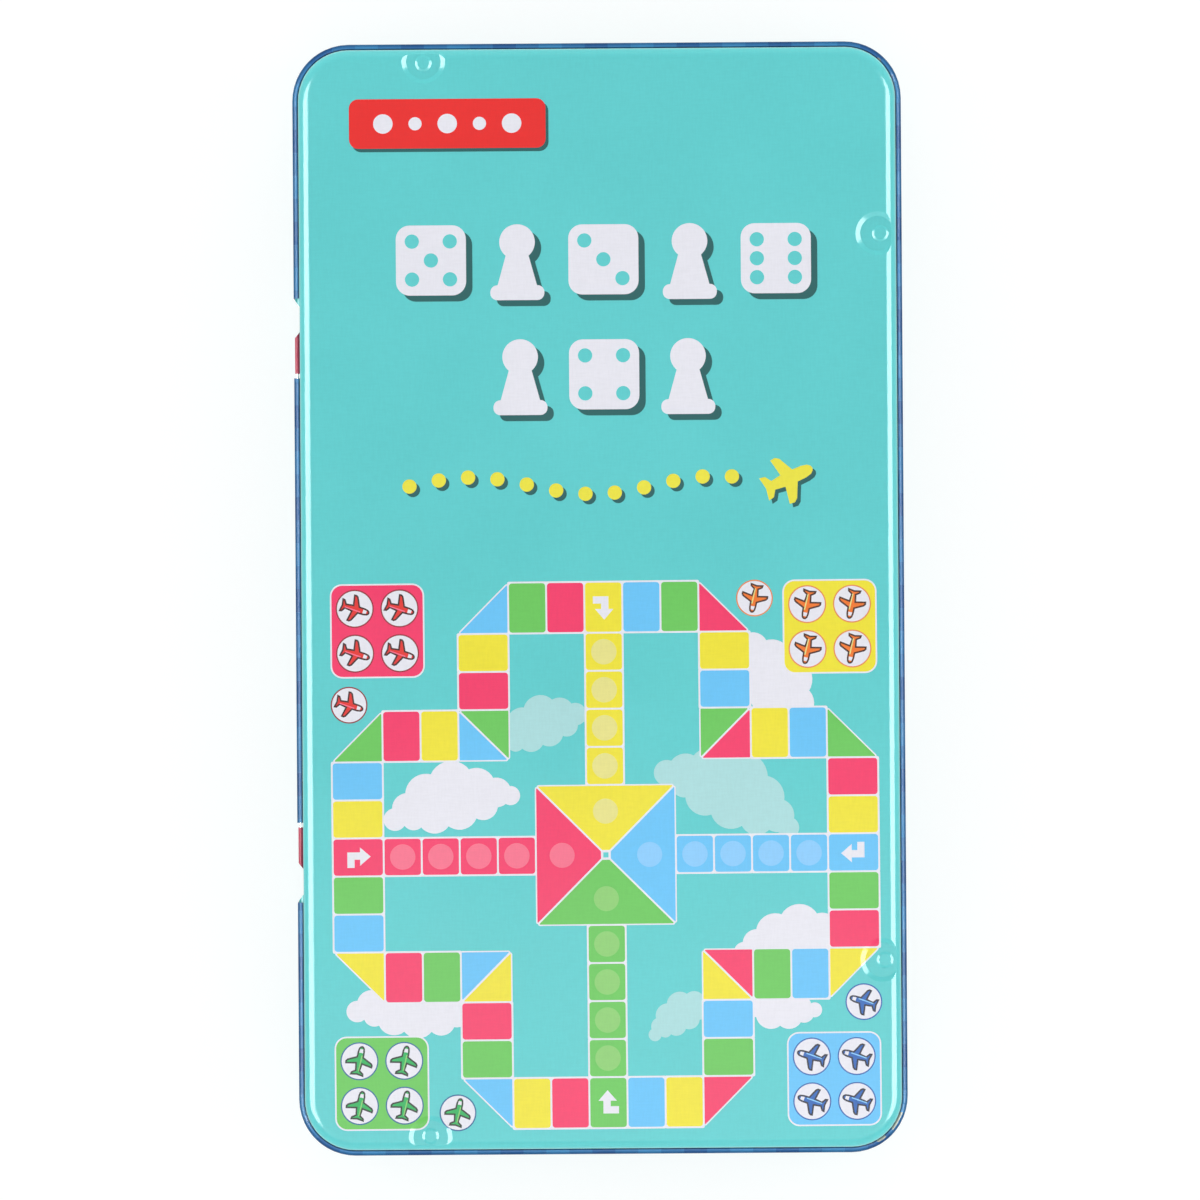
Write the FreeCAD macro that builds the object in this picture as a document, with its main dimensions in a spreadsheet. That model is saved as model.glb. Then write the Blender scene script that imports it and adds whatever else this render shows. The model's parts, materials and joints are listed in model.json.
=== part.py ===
import FreeCAD, Part
import math
import os

import Sketcher

# A magnetic ludo tin: two stamped halves hinged like a book, with a printed steel board plate in each,
# sixteen magnetic pawns and a die.
# +X is the tin's width, +Y its length and +Z up. The hinge is at -X, and the origin is under the middle.
# Each half is drawn standing on its outer face, and the lid's pieces are then turned over.

doc = FreeCAD.newDocument("magnetic_ludo_tin")
dims = doc.addObject("Spreadsheet::Sheet", "dims")

DIMENSIONS = (
    # The closed tin, over the curled bead.
    ("overall_width", 106.0),
    ("overall_length", 193.5),
    ("overall_height", 18.0),
    ("sheet_thickness", 0.23),
    ("wall_corner_radius", 8.8),
    ("edge_radius", 1.9),
    # The bead curled outwards round the lid's edge.
    ("bead_diameter", 1.3),
    ("curl_slit", 0.08),
    # The base's neck inside the lid.
    ("rim_gap", 0.1),
    ("neck_clearance", 0.15),
    ("neck_height", 2.5),
    # The two hinges, measured along the hinge from the tin's middle.
    ("pin_diameter", 0.4),
    ("pin_start", 31.5),
    ("pin_end_inset", 1.0),
    ("running_clearance", 0.03),
    ("grip_clearance", 0.01),
    ("knuckle_start", 39.5),
    ("knuckle_length", 7.3),
    ("knuckle_root_depth", 1.6),
    ("knuckle_taper", 1.1),
    ("knuckle_end_gap", 0.8),
    ("notch_length", 12.4),
    ("notch_depth", 1.2),
    ("flare_length", 1.5),
    ("flare_angle", 160.0),
    # The round dents at the edge of each half, which run out into its round, and the nub in each dent.
    ("dent_radius", 3.8),
    ("dent_slope_width", 0.8),
    ("dent_depth", 0.35),
    ("nub_radius", 1.45),
    ("nub_slope_width", 0.42),
    ("nub_height", 0.2),
    ("side_dent_offset", 63.2),
    ("side_dent_inset", 3.25),
    ("side_nub_inset", 2.75),
    ("end_dent_offset", 30.1),
    ("end_dent_inset", 2.1),
    ("end_nub_inset", 2.35),
    # The board plates.
    ("board_height", 2.15),
    ("board_bend_radius", 0.8),
    ("board_clearance", 0.3),
    # The pawns and their magnets, in a square of four at each home, in from the board's free side and end.
    ("home_side_inset", 28.6),
    ("home_end_inset", 20.0),
    ("pawn_spacing", 14.7),
    ("pawn_diameter", 12.0),
    ("pawn_height", 3.2),
    ("pawn_rim_width", 1.2),
    ("pawn_face_depth", 0.3),
    ("pawn_bevel", 0.5),
    ("magnet_diameter", 8.0),
    ("magnet_height", 1.5),
    ("magnet_clearance", 0.02),
    ("magnet_recess", 0.1),
    # The die, and its place from the hinge and from the tin's middle.
    ("die_size", 8.0),
    ("die_edge_radius", 0.9),
    ("pip_diameter", 1.4),
    ("pip_depth", 0.3),
    ("pip_spacing", 2.1),
    ("die_hinge_offset", 45.0),
    ("die_length_offset", 22.0),
)

for row, (alias, value) in enumerate(DIMENSIONS, start=1):
    dims.set(f"A{row}", alias)
    dims.set(f"B{row}", str(value))
    dims.setAlias(f"B{row}", alias)
doc.recompute()

# Sizes that follow from the sheet, as expressions of its cells.
# An inset is measured in from the wall's face.
SHEET = "dims.sheet_thickness"
BEAD_RADIUS = "(dims.bead_diameter / 2)"
HALF_HEIGHT = "(dims.overall_height / 2)"
AXIS_X = f"({BEAD_RADIUS} - dims.overall_width / 2)"
WALL_WIDTH = f"(dims.overall_width - 2 * dims.bead_diameter + 2 * {SHEET})"
WALL_LENGTH = f"(dims.overall_length - 2 * dims.bead_diameter + 2 * {SHEET})"
BEAD_PATH_INSET = f"({SHEET} - {BEAD_RADIUS})"
SHOULDER_HEIGHT = f"({HALF_HEIGHT} - {BEAD_RADIUS} - dims.rim_gap)"
NECK_TOP = f"({HALF_HEIGHT} + dims.neck_height)"
NECK_INSET = f"({SHEET} + dims.neck_clearance)"
NECK_INNER_INSET = f"({NECK_INSET} + {SHEET})"
DENT_BACK_TOP = f"({SHEET} + dims.dent_depth)"
INNER_EDGE_RADIUS = f"(dims.edge_radius - {SHEET})"
ROUND_INSET = (f"(dims.edge_radius - sqrt({INNER_EDGE_RADIUS} ^ 2"
               f" - max({INNER_EDGE_RADIUS} - dims.dent_depth; 0) ^ 2))")
BOARD_INSET = f"(max({NECK_INNER_INSET}; {ROUND_INSET}) + dims.board_clearance)"
BOARD_FACE = f"({DENT_BACK_TOP} + dims.board_height)"
KNUCKLE_BORE_RADIUS = "(dims.pin_diameter / 2 + dims.running_clearance)"
KNUCKLE_RADIUS = f"({KNUCKLE_BORE_RADIUS} + {SHEET})"
BEAD_END = "(dims.knuckle_start - dims.knuckle_end_gap)"
NOTCH_END = f"({BEAD_END} + dims.notch_length)"
CURL_START = f"({NOTCH_END} + dims.flare_length)"
KNUCKLE_END = "(dims.knuckle_start + dims.knuckle_length)"
PIN_LENGTH = f"({KNUCKLE_END} - dims.pin_end_inset - dims.pin_start)"
DENT_FLOOR_RADIUS = "(dims.dent_radius - dims.dent_slope_width)"
DENT_BACK_MARGIN = (f"({SHEET} * (sqrt(dims.dent_slope_width ^ 2 + dims.dent_depth ^ 2)"
                    f" - dims.dent_slope_width) / dims.dent_depth)")
HOME_X = f"({WALL_WIDTH} / 2 - {BOARD_INSET} - dims.home_side_inset)"
HOME_Y = f"({WALL_LENGTH} / 2 - {BOARD_INSET} - dims.home_end_inset)"
PAWN_RADIUS = "(dims.pawn_diameter / 2)"
PAWN_FACE = "(dims.pawn_height - dims.pawn_face_depth)"
MAGNET_POCKET_RADIUS = "(dims.magnet_diameter / 2 + dims.magnet_clearance)"
MAGNET_POCKET_DEPTH = "(dims.magnet_recess + dims.magnet_height)"

TURNED_OVER = FreeCAD.Rotation(FreeCAD.Vector(1, 0, 0), 180)
UP = FreeCAD.Vector(0, 0, 1)


def number(expression):
    """The value that an expression of the sheet's cells has now."""
    result = dims.evalExpression(expression)
    return float(getattr(result, "Value", result))


# Sketches and features


def new_body(label):
    body = doc.addObject("PartDesign::Body", label)
    body.Label = label
    return body


def place(body, x, y, z, turned_over=False):
    """Puts a body in the tin. A body that is turned over hangs from the height that it is given."""
    if turned_over:
        body.Placement = FreeCAD.Placement(FreeCAD.Vector(), TURNED_OVER)
        z = f"dims.overall_height - ({z})"
    for axis, expression in zip("xyz", (x, y, z)):
        body.setExpression(f"Placement.Base.{axis}", expression)


def origin_plane(body, role):
    return next(feature for feature in body.Origin.OriginFeatures if feature.Role == role)


def new_sketch(body, name, role, offset="0"):
    """A sketch on one of the body's planes, moved along the plane's normal."""
    sketch = body.newObject("Sketcher::SketchObject", name)
    sketch.AttachmentSupport = [(origin_plane(body, role), "")]
    sketch.MapMode = "FlatFace"
    sketch.setExpression("AttachmentOffset.Base.z", offset)
    return sketch


def bind(sketch, kind, points, expression):
    """Adds a dimension to a sketch, bound to an expression."""
    index = sketch.addConstraint(Sketcher.Constraint(kind, *points, number(expression)))
    sketch.setExpression(f"Constraints[{index}]", expression)


def bind_point(sketch, edge, end, across, along):
    """Fixes a point of a sketch at two expressions from the origin, or on an axis."""
    for kind, axis, expression in (("DistanceX", -2, across), ("DistanceY", -1, along)):
        if expression == "0":
            sketch.addConstraint(Sketcher.Constraint("PointOnObject", edge, end, axis))
        else:
            bind(sketch, kind, (-1, 1, edge, end), expression)


def draw_line(sketch, start, end):
    return sketch.addGeometry(Part.LineSegment(FreeCAD.Vector(*start), FreeCAD.Vector(*end)))


def draw_arc(sketch, centre, radius, start_angle, end_angle):
    circle = Part.Circle(FreeCAD.Vector(*centre), UP, radius)
    return sketch.addGeometry(Part.ArcOfCircle(circle, start_angle, end_angle))


def draw_circle(sketch, across, along, radius):
    centre = FreeCAD.Vector(number(across), number(along))
    circle = sketch.addGeometry(Part.Circle(centre, UP, number(radius)))
    bind_point(sketch, circle, 3, across, along)
    bind(sketch, "Radius", (circle,), radius)


def draw_polygon(sketch, points):
    """A closed outline of straight lines through points given as pairs of expressions."""
    places = [(number(across), number(along)) for across, along in points]
    lines = [draw_line(sketch, start, end) for start, end in zip(places, places[1:] + places[:1])]
    for line, following, point in zip(lines, lines[1:] + lines[:1], points):
        sketch.addConstraint(Sketcher.Constraint("Coincident", line, 2, following, 1))
        bind_point(sketch, line, 1, *point)


def draw_outline(sketch, inset, gap=None):
    """The wall's outline, a rectangle with round corners, drawn in by an inset.

    With a gap, the hinge side is left open for that far either way from its middle.
    """
    width = f"{WALL_WIDTH} - 2 * {inset}"
    length = f"{WALL_LENGTH} - 2 * {inset}"
    radius = f"dims.wall_corner_radius - {inset}"
    half_x, half_y, corner = number(width) / 2, number(length) / 2, number(radius)
    x, y = half_x - corner, half_y - corner
    centres = ((x, y), (-x, y), (-x, -y), (x, -y))
    quarter = math.pi / 2
    arcs = [draw_arc(sketch, centre, corner, i * quarter, (i + 1) * quarter)
            for i, centre in enumerate(centres)]
    top = draw_line(sketch, (x, half_y), (-x, half_y))
    bottom = draw_line(sketch, (-x, -half_y), (x, -half_y))
    right = draw_line(sketch, (half_x, -y), (half_x, y))
    if gap:
        left_down = draw_line(sketch, (-half_x, y), (-half_x, number(gap)))
        left_up = draw_line(sketch, (-half_x, -number(gap)), (-half_x, -y))
        bind(sketch, "DistanceY", (-1, 1, left_down, 2), gap)
        bind(sketch, "DistanceY", (left_up, 1, -1, 1), gap)
    else:
        left_down = left_up = draw_line(sketch, (-half_x, y), (-half_x, -y))
    joints = ((arcs[0], top), (top, arcs[1]), (arcs[1], left_down), (left_up, arcs[2]),
              (arcs[2], bottom), (bottom, arcs[3]), (arcs[3], right), (right, arcs[0]))
    for before, after in joints:
        sketch.addConstraint(Sketcher.Constraint("Tangent", before, 2, after, 1))
    for line in (top, bottom):
        sketch.addConstraint(Sketcher.Constraint("Horizontal", line))
    for line in {right, left_down, left_up}:
        sketch.addConstraint(Sketcher.Constraint("Vertical", line))
    for arc in arcs[1:]:
        sketch.addConstraint(Sketcher.Constraint("Equal", arcs[0], arc))
    sketch.addConstraint(Sketcher.Constraint("Symmetric", arcs[0], 3, arcs[2], 3, -1, 1))
    bind(sketch, "Radius", (arcs[0],), radius)
    bind(sketch, "DistanceX", (left_down, 1, right, 1), width)
    bind(sketch, "DistanceY", (bottom, 1, top, 1), length)


def draw_curl(sketch, radius, angle=None):
    """The section of sheet rolled outwards about the hinge axis, from the wall over to its outer side.

    It turns through an angle, or else until a slit is left between its edge and the wall.
    """
    bore = f"({radius} - {SHEET})"
    turn = f"cos({angle})" if angle else f"(({bore} - dims.curl_slit) / {radius})"
    end_angle = math.acos(number(turn)) if angle else 2 * math.pi - math.acos(number(turn))
    centre = (number(AXIS_X), number(HALF_HEIGHT))
    outer, inner = [draw_arc(sketch, centre, number(size), 0, end_angle) for size in (radius, bore)]
    bind_point(sketch, outer, 3, AXIS_X, HALF_HEIGHT)
    sketch.addConstraint(Sketcher.Constraint("Coincident", outer, 3, inner, 3))
    for arc, size in ((outer, radius), (inner, bore)):
        bind(sketch, "Radius", (arc,), size)
        bind(sketch, "DistanceY", (-1, 1, arc, 1), HALF_HEIGHT)
        bind(sketch, "DistanceX", (arc, 3, arc, 2), f"{size} * {turn}")
    for end in (1, 2):
        points = [sketch.getPoint(arc, end) for arc in (outer, inner)]
        line = sketch.addGeometry(Part.LineSegment(*points))
        sketch.addConstraint(Sketcher.Constraint("Coincident", line, 1, outer, end))
        sketch.addConstraint(Sketcher.Constraint("Coincident", line, 2, inner, end))


def add_feature(body, kind, name, sketch=None, reverse=False, **sizes):
    """Adds a feature to a body, with its sizes bound to expressions."""
    feature = body.newObject(f"PartDesign::{kind}", name)
    if sketch:
        feature.Profile = sketch
        feature.Reversed = reverse
    for size, expression in sizes.items():
        feature.setExpression(size, expression)
    doc.recompute()
    return feature


def add_primitive(body, kind, name, x, y, z, **sizes):
    """Adds a primitive to a body, or takes it away, at a place given as expressions."""
    feature = add_feature(body, kind, name, **sizes)
    for axis, expression in zip("xyz", (x, y, z)):
        feature.setExpression(f"Placement.Base.{axis}", expression)
    doc.recompute()
    return feature


def round_level_edges(body, name, height, radius):
    """Rounds the edges that lie level at a height."""
    base = body.Tip
    level = number(height)
    near = number(SHEET) / 100
    edges = []
    for index, edge in enumerate(base.Shape.Edges, start=1):
        box = edge.BoundBox
        if abs(box.ZMin - level) < near and abs(box.ZMax - level) < near:
            edges.append(f"Edge{index}")
    feature = body.newObject("PartDesign::Fillet", name)
    feature.Base = (base, edges)
    feature.setExpression("Radius", radius)
    doc.recompute()


def mirror_along_hinge(body, name, originals):
    """Repeats features on the other side of the tin's middle."""
    feature = body.newObject("PartDesign::Mirrored", name)
    feature.Originals = originals
    feature.MirrorPlane = (origin_plane(body, "XZ_Plane"), [""])
    body.Tip = feature
    doc.recompute()


def dent_places():
    """The centre of each dent and of its nub: two on the side across from the hinge, one at each end."""
    side, side_nub = [f"({WALL_WIDTH} / 2 - dims.side_{kind}_inset)" for kind in ("dent", "nub")]
    end, end_nub = [f"({WALL_LENGTH} / 2 - dims.end_{kind}_inset)" for kind in ("dent", "nub")]
    for sign in ("", "-"):
        along = f"{sign}dims.side_dent_offset"
        across = "-dims.end_dent_offset"
        yield (side, along), (side_nub, along)
        yield (across, sign + end), (across, sign + end_nub)


# The two halves


def stamp_tray(body, height):
    """A pressed tray of thin sheet with round edges and four dents."""
    outline = new_sketch(body, "wall_outline", "XY_Plane")
    draw_outline(outline, "0")
    add_feature(body, "Pad", "blank", outline, Length=height)
    hollow = new_sketch(body, "hollow_outline", "XY_Plane", SHEET)
    draw_outline(hollow, SHEET)
    add_feature(body, "Pocket", "hollow", hollow, reverse=True, Length=height)
    round_level_edges(body, "inner_round", SHEET, INNER_EDGE_RADIUS)
    for (x, y), _ in dent_places():
        add_primitive(body, "AdditiveCone", "dent_back", x, y, SHEET,
                      Radius1=f"dims.dent_radius + {DENT_BACK_MARGIN}",
                      Radius2=f"{DENT_FLOOR_RADIUS} + {DENT_BACK_MARGIN}", Height="dims.dent_depth")
    trim = new_sketch(body, "trim_ring", "XY_Plane", f"{SHEET} / 2")
    draw_outline(trim, "0")
    draw_outline(trim, "(-2 * dims.dent_radius)")
    add_feature(body, "Pocket", "trim", trim, reverse=True, Length=f"{SHEET} + dims.dent_depth")
    round_level_edges(body, "outer_round", "0", "dims.edge_radius")
    for (x, y), (nub_x, nub_y) in dent_places():
        add_primitive(body, "SubtractiveCone", "dent", x, y, "0",
                      Radius1="dims.dent_radius", Radius2=DENT_FLOOR_RADIUS, Height="dims.dent_depth")
        add_primitive(body, "AdditiveCone", "nub", nub_x, nub_y, "dims.dent_depth - dims.nub_height",
                      Radius1="dims.nub_radius - dims.nub_slope_width", Radius2="dims.nub_radius",
                      Height="dims.nub_height")


def make_base_shell():
    """The lower half: a tray with a shoulder, a neck that goes up into the lid, and two rolled knuckles.

    Each knuckle is tapered at the end away from the tin's middle.
    """
    body = new_body("base_shell")
    stamp_tray(body, SHOULDER_HEIGHT)
    shoulder = new_sketch(body, "shoulder_ring", "XY_Plane", f"{SHOULDER_HEIGHT} - {SHEET}")
    draw_outline(shoulder, f"({SHEET} / 2)")
    draw_outline(shoulder, NECK_INNER_INSET)
    add_feature(body, "Pad", "shoulder", shoulder, Length=SHEET)
    neck = new_sketch(body, "neck_ring", "XY_Plane", SHOULDER_HEIGHT)
    draw_outline(neck, NECK_INSET)
    draw_outline(neck, NECK_INNER_INSET)
    add_feature(body, "Pad", "neck", neck, Length=f"{NECK_TOP} - {SHOULDER_HEIGHT}")

    wall_x = f"(-{WALL_WIDTH} / 2)"
    root_height = f"{SHOULDER_HEIGHT} - dims.knuckle_root_depth"
    tab_section = new_sketch(body, "knuckle_tab_section", "XZ_Plane", "-dims.knuckle_start")
    draw_polygon(tab_section, (
        (wall_x, root_height),
        (f"{wall_x} + {SHEET}", root_height),
        (f"{AXIS_X} + {KNUCKLE_RADIUS}", HALF_HEIGHT),
        (f"{AXIS_X} + {KNUCKLE_BORE_RADIUS}", HALF_HEIGHT),
    ))
    tab = add_feature(body, "Pad", "knuckle_tab", tab_section, reverse=True, Length="dims.knuckle_length")
    roll_section = new_sketch(body, "knuckle_roll_section", "XZ_Plane", "-dims.knuckle_start")
    draw_curl(roll_section, KNUCKLE_RADIUS)
    roll = add_feature(body, "Pad", "knuckle_roll", roll_section, reverse=True,
                       Length="dims.knuckle_length")

    roll_side = f"({AXIS_X} - {KNUCKLE_RADIUS})"
    taper_start = f"({KNUCKLE_END} - dims.knuckle_taper)"
    taper_outline = new_sketch(body, "knuckle_taper_outline", "XY_Plane", root_height)
    draw_polygon(taper_outline, (
        (wall_x, KNUCKLE_END),
        (roll_side, taper_start),
        (f"{roll_side} - {SHEET}", taper_start),
        (f"{roll_side} - {SHEET}", f"{KNUCKLE_END} + {SHEET}"),
        (wall_x, f"{KNUCKLE_END} + {SHEET}"),
    ))
    taper = add_feature(body, "Pocket", "knuckle_taper", taper_outline, reverse=True, Length=HALF_HEIGHT)
    mirror_along_hinge(body, "lower_knuckle", [tab, roll, taper])
    return body


def make_lid_shell():
    """The upper half: a tray whose edge is curled outwards into a bead, left open for the base's knuckles.

    Next to each opening the curl starts from nothing in a tapered flare, and the other end grips a pin.
    """
    body = new_body("lid_shell")
    stamp_tray(body, HALF_HEIGHT)
    notch = add_primitive(body, "SubtractiveBox", "knuckle_notch",
                          f"-{WALL_WIDTH} / 2 - {SHEET}", BEAD_END, f"{HALF_HEIGHT} - dims.notch_depth",
                          Length=f"3 * {SHEET}", Width="dims.notch_length",
                          Height=f"dims.notch_depth + {BEAD_RADIUS}")
    mirror_along_hinge(body, "lower_knuckle_notch", [notch])

    path = new_sketch(body, "bead_path", "XY_Plane", HALF_HEIGHT)
    draw_outline(path, BEAD_PATH_INSET, gap=CURL_START)
    section = new_sketch(body, "bead_section", "XZ_Plane", f"-{CURL_START}")
    draw_curl(section, BEAD_RADIUS)
    doc.recompute()
    bead = body.newObject("PartDesign::AdditivePipe", "bead")
    bead.Profile = section
    bead.Spine = (path, [f"Edge{i + 1}" for i in range(path.GeometryCount)])
    doc.recompute()

    middle_section = new_sketch(body, "hinge_bead_section", "XZ_Plane")
    draw_curl(middle_section, BEAD_RADIUS)
    middle = add_feature(body, "Pad", "hinge_bead", middle_section, Length=f"2 * {BEAD_END}")
    middle.SideType = "Symmetric"
    doc.recompute()

    flare_section = new_sketch(body, "flare_section", "XZ_Plane", f"-{NOTCH_END}")
    draw_curl(flare_section, BEAD_RADIUS, "dims.flare_angle")
    flare = add_feature(body, "Pad", "bead_flare", flare_section, reverse=True, Length="dims.flare_length")
    wall_x = f"(-{WALL_WIDTH} / 2)"
    bead_side = "(-dims.overall_width / 2)"
    taper_outline = new_sketch(body, "flare_taper_outline", "XY_Plane",
                               f"{HALF_HEIGHT} - dims.bead_diameter")
    draw_polygon(taper_outline, (
        (wall_x, NOTCH_END),
        (bead_side, CURL_START),
        (f"{bead_side} - {SHEET}", CURL_START),
        (f"{bead_side} - {SHEET}", f"{NOTCH_END} - {SHEET}"),
        (wall_x, f"{NOTCH_END} - {SHEET}"),
    ))
    taper = add_feature(body, "Pocket", "flare_taper", taper_outline, reverse=True,
                        Length="2 * dims.bead_diameter")
    grip_section = new_sketch(body, "pin_grip_section", "XZ_Plane", "-dims.pin_start")
    draw_circle(grip_section, AXIS_X, HALF_HEIGHT, f"{BEAD_RADIUS} - {SHEET} / 2")
    draw_circle(grip_section, AXIS_X, HALF_HEIGHT, "dims.pin_diameter / 2 + dims.grip_clearance")
    grip = add_feature(body, "Pad", "pin_grip", grip_section, reverse=True,
                       Length=f"{BEAD_END} - dims.pin_start")
    mirror_along_hinge(body, "lower_hinge_ends", [flare, taper, grip])
    place(body, "0", "0", "0", turned_over=True)
    return body


def make_hinge_pin(label, upper):
    """A wire pin from inside the lid's bead through one knuckle."""
    body = new_body(label)
    section = new_sketch(body, "pin_section", "XZ_Plane", "-dims.pin_start" if upper else "dims.pin_start")
    draw_circle(section, AXIS_X, HALF_HEIGHT, "dims.pin_diameter / 2")
    add_feature(body, "Pad", "pin", section, reverse=upper, Length=PIN_LENGTH)
    return body


def make_board(label, turned_over=False):
    """A steel plate with its edge bent over, which stands on the backs of the tray's dents."""
    body = new_body(label)
    outline = new_sketch(body, "board_outline", "XY_Plane", DENT_BACK_TOP)
    draw_outline(outline, BOARD_INSET)
    add_feature(body, "Pad", "plate", outline, Length="dims.board_height")
    hollow = new_sketch(body, "board_hollow", "XY_Plane", DENT_BACK_TOP)
    draw_outline(hollow, f"({BOARD_INSET} + {SHEET})")
    add_feature(body, "Pocket", "underside", hollow, reverse=True, Length=f"dims.board_height - {SHEET}")
    round_level_edges(body, "inner_bend", f"{BOARD_FACE} - {SHEET}", f"dims.board_bend_radius - {SHEET}")
    round_level_edges(body, "bend", BOARD_FACE, "dims.board_bend_radius")
    place(body, "0", "0", "0", turned_over)
    return body


# The game's pieces


def make_pawn(label):
    """A round pawn with a raised rim, and a pocket for its magnet underneath."""
    body = new_body(label)
    section = new_sketch(body, "pawn_section", "XZ_Plane")
    draw_polygon(section, (
        (MAGNET_POCKET_RADIUS, "0"),
        (PAWN_RADIUS, "0"),
        (PAWN_RADIUS, "dims.pawn_height - dims.pawn_bevel"),
        (f"{PAWN_RADIUS} - dims.pawn_bevel", "dims.pawn_height"),
        (f"{PAWN_RADIUS} - dims.pawn_rim_width", "dims.pawn_height"),
        (f"{PAWN_RADIUS} - dims.pawn_rim_width", PAWN_FACE),
        ("0", PAWN_FACE),
        ("0", MAGNET_POCKET_DEPTH),
        (MAGNET_POCKET_RADIUS, MAGNET_POCKET_DEPTH),
    ))
    doc.recompute()
    turn = body.newObject("PartDesign::Revolution", "pawn")
    turn.Profile = section
    turn.ReferenceAxis = (section, ["V_Axis"])
    doc.recompute()
    return body


def make_magnet(label):
    """A disc magnet, a little inside the pawn's foot."""
    body = new_body(label)
    add_primitive(body, "AdditiveCylinder", "disc", "0", "0", "dims.magnet_recess",
                  Radius="dims.magnet_diameter / 2", Height="dims.magnet_height")
    return body


def make_pawns(colour, along, turned_over=False):
    """Four pawns with their magnets, in the square of one colour's home on the board."""
    pieces = []
    corners = [(across_sign, along_sign) for along_sign in "+-" for across_sign in "-+"]
    for index, (across_sign, along_sign) in enumerate(corners, start=1):
        x = f"{HOME_X} {across_sign} dims.pawn_spacing / 2"
        y = f"{along}{HOME_Y} {along_sign} dims.pawn_spacing / 2"
        for body in (make_pawn(f"{colour}_pawn_{index}"), make_magnet(f"{colour}_magnet_{index}")):
            place(body, x, y, BOARD_FACE, turned_over)
            pieces.append(body)
    return pieces


def make_die():
    """A cube with round edges and drilled pips, whose opposite faces add up to seven."""
    body = new_body("die")
    half = "dims.die_size / 2"
    cube = add_primitive(body, "AdditiveBox", "cube", f"-{half}", f"-{half}", f"-{half}",
                         Length="dims.die_size", Width="dims.die_size", Height="dims.die_size")
    rounding = body.newObject("PartDesign::Fillet", "round_edges")
    rounding.Base = (cube, [])
    rounding.UseAllEdges = True
    rounding.setExpression("Radius", "dims.die_edge_radius")
    doc.recompute()

    diagonal = [(-1, -1), (1, 1)]
    corners = diagonal + [(-1, 1), (1, -1)]
    middle = [(0, 0)]
    sides = [(-1, 0), (1, 0)]
    layouts = {1: middle, 2: diagonal, 3: diagonal + middle,
               4: corners, 5: corners + middle, 6: corners + sides}
    faces = (("XY_Plane", 1, 6), ("XZ_Plane", 2, 5), ("YZ_Plane", 3, 4))
    for role, front_count, back_count in faces:
        for count, side in ((front_count, ""), (back_count, "-")):
            sketch = new_sketch(body, "pips", role, side + half)
            for column, row in layouts[count]:
                across, along = [f"{step} * dims.pip_spacing" if step else "0" for step in (column, row)]
                draw_circle(sketch, across, along, "dims.pip_diameter / 2")
            add_feature(body, "Pocket", "drilled_pips", sketch, reverse=bool(side), Length="dims.pip_depth")
    place(body, f"{AXIS_X} + dims.die_hinge_offset", "dims.die_length_offset", f"{BOARD_FACE} + {half}")
    return body


def check_document():
    """Stops if a feature failed, or if one that takes material away took none."""
    for item in doc.Objects:
        if "Invalid" in item.State or "Error" in item.State:
            raise RuntimeError(f"{item.Label} failed: {item.State}")
        if item.TypeId.startswith(("PartDesign::Pocket", "PartDesign::Subtractive")):
            if item.Shape.Volume >= item.BaseFeature.Shape.Volume:
                raise RuntimeError(f"{item.Label} cuts nothing")


def export(bodies):
    """Writes each body to a file with its own name."""
    for body in bodies:
        if body.Shape.isNull() or not body.Shape.isValid():
            raise RuntimeError(f"{body.Label} has no valid shape")
    os.makedirs("parts", exist_ok=True)
    for body in bodies:
        body.Shape.exportStep(f"parts/{body.Label}.step")


pieces = [
    make_base_shell(),
    make_lid_shell(),
    make_hinge_pin("upper_hinge_pin", upper=True),
    make_hinge_pin("lower_hinge_pin", upper=False),
    make_board("base_board"),
    make_board("lid_board", turned_over=True),
    make_die(),
]
pieces += make_pawns("red", "", turned_over=True)
pieces += make_pawns("green", "-", turned_over=True)
pieces += make_pawns("yellow", "")
pieces += make_pawns("blue", "-")
doc.recompute()
check_document()
export(pieces)
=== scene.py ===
import json
import math

import bpy
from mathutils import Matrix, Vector
from mathutils.bvhtree import BVHTree
from mathutils.geometry import delaunay_2d_cdt


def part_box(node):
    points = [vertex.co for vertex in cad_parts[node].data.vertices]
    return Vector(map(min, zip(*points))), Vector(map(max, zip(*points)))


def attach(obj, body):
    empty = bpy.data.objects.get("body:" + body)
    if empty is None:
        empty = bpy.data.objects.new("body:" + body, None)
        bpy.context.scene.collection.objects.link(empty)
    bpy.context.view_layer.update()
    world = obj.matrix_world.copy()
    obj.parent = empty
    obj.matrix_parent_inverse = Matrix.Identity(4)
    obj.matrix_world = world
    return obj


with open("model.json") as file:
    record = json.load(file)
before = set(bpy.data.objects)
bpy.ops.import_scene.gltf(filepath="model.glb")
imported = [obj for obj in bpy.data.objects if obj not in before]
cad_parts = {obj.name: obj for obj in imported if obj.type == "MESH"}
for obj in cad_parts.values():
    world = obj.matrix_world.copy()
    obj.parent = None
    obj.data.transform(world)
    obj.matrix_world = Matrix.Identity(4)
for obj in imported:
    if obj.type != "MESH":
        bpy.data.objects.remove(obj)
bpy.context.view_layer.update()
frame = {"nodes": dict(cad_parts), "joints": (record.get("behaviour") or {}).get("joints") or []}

# The looks of a magnetic ludo tin: printed tinplate, a game board in each half, plastic pawns and a die.
# Shapes are drawn in millimetres, with the tin's middle at the origin, and made in metres.
MM = 0.001
TINY = 1e-6


def box_mm(node):
    return [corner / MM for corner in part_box(node)]


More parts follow.
